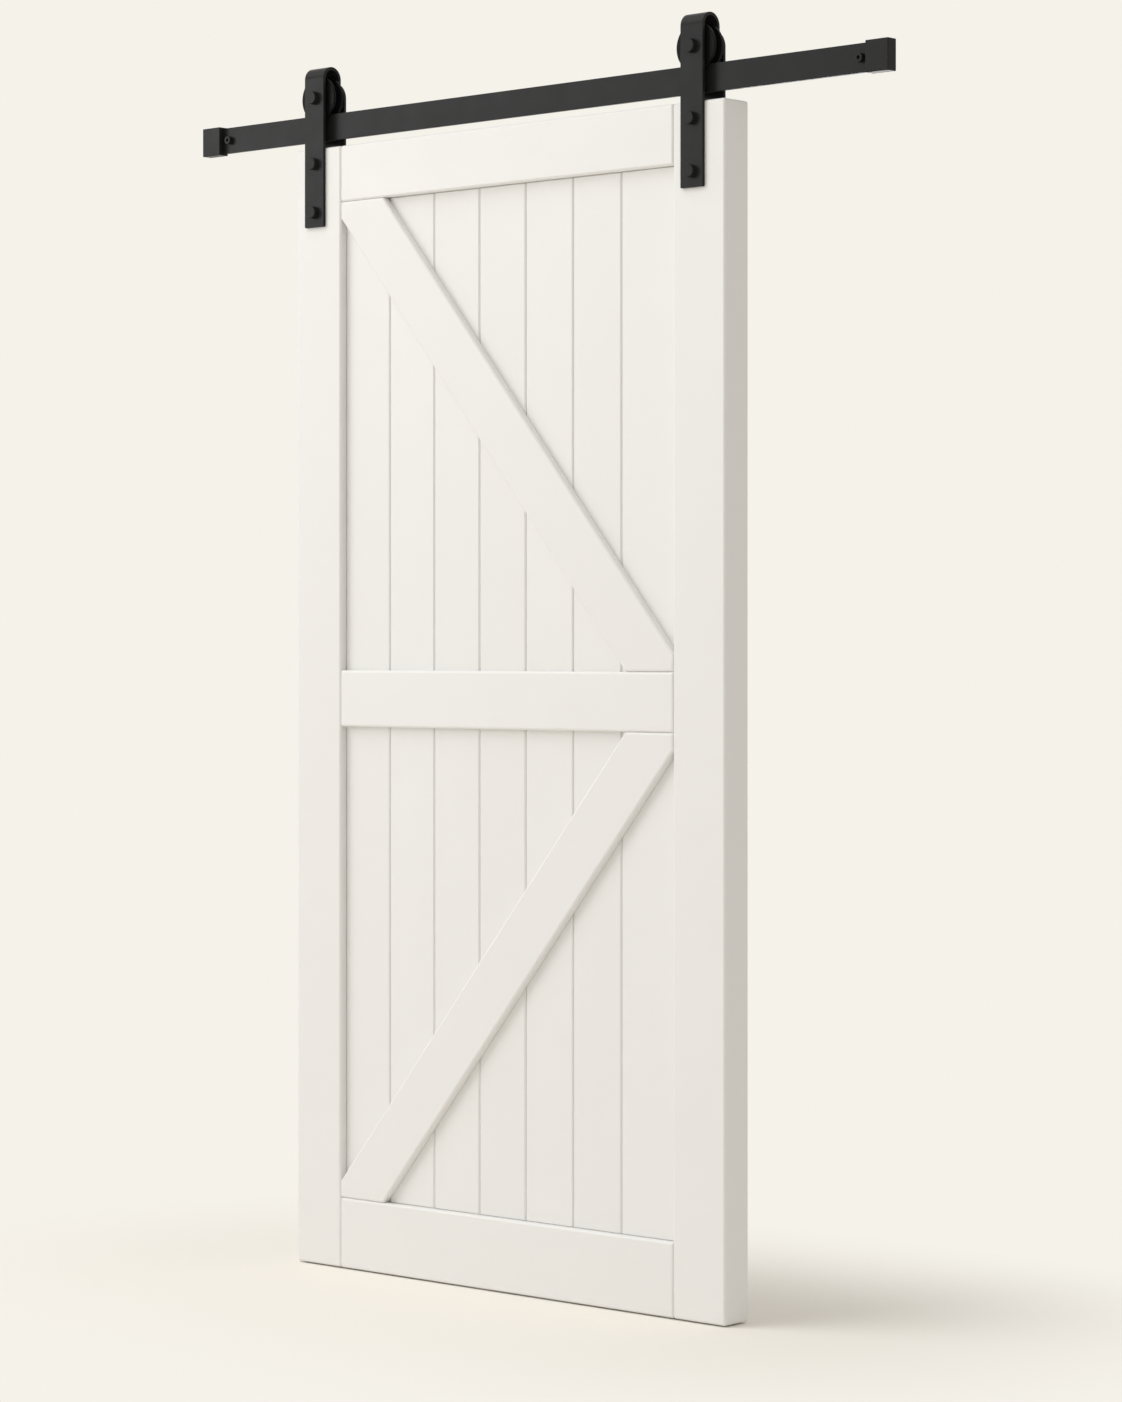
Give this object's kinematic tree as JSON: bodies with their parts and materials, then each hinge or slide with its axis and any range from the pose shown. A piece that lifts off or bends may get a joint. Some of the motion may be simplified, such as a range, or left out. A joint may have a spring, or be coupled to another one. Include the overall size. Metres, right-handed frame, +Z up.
{
  "type": "sliding barn door",
  "caption": "Boarded, K-braced sliding door leaf hung by bent-strap hangers with grooved wheels on a flat wall rail with end stops.",
  "frame": {"origin": "on the wall plane, at the middle of the left spacer's wall face, level with the rail's middle", "axes": "+X along the rail to the right as seen from the front, +Y from the front into the wall, +Z up"},
  "size_m": [1.69, 0.096, 2.2898],
  "materials": {
    "white_paint": "satin white paint on wood",
    "black_coat": "matte black powder coat on steel"
  },
  "bodies": {
    "track": {"track_rail": "black_coat", "left_end_stop": "black_coat", "right_end_stop": "black_coat", "left_wall_spacer": "black_coat", "right_wall_spacer": "black_coat", "left_rail_bolt": "black_coat", "right_rail_bolt": "black_coat"},
    "door": {"left_stile": "white_paint", "right_stile": "white_paint", "top_rail": "white_paint", "bottom_rail": "white_paint", "middle_rail_front": "white_paint", "middle_rail_back": "white_paint", "upper_brace_front": "white_paint", "upper_brace_back": "white_paint", "lower_brace_front": "white_paint", "lower_brace_back": "white_paint", "board_1": "white_paint", "board_2": "white_paint", "board_3": "white_paint", "board_4": "white_paint", "board_5": "white_paint", "board_6": "white_paint", "board_7": "white_paint", "left_hanger_strap": "black_coat", "right_hanger_strap": "black_coat", "left_back_plate": "black_coat", "right_back_plate": "black_coat", "left_axle_bolt": "black_coat", "right_axle_bolt": "black_coat", "left_upper_strap_bolt": "black_coat", "left_lower_strap_bolt": "black_coat", "right_upper_strap_bolt": "black_coat", "right_lower_strap_bolt": "black_coat"},
    "left_wheel": {"left_wheel": "black_coat"},
    "right_wheel": {"right_wheel": "black_coat"}
  },
  "joints": [
    {"name": "door_slide", "type": "slide", "parent": "track", "child": "door", "axis": [1, 0, 0], "range_m": [-0.2045, 0.3065]},
    {"name": "left_wheel_spin", "type": "hinge", "parent": "door", "child": "left_wheel", "pos_m": [0.256, -0.0625, 0.0563], "axis": [0, 1, 0], "continuous": true},
    {"name": "right_wheel_spin", "type": "hinge", "parent": "door", "child": "right_wheel", "pos_m": [1.2, -0.0625, 0.0563], "axis": [0, 1, 0], "continuous": true}
  ],
  "couplings": [
    {"joint": "left_wheel_spin", "follows": "door_slide", "rad_per_m": 32.258},
    {"joint": "right_wheel_spin", "follows": "door_slide", "rad_per_m": 32.258}
  ]
}
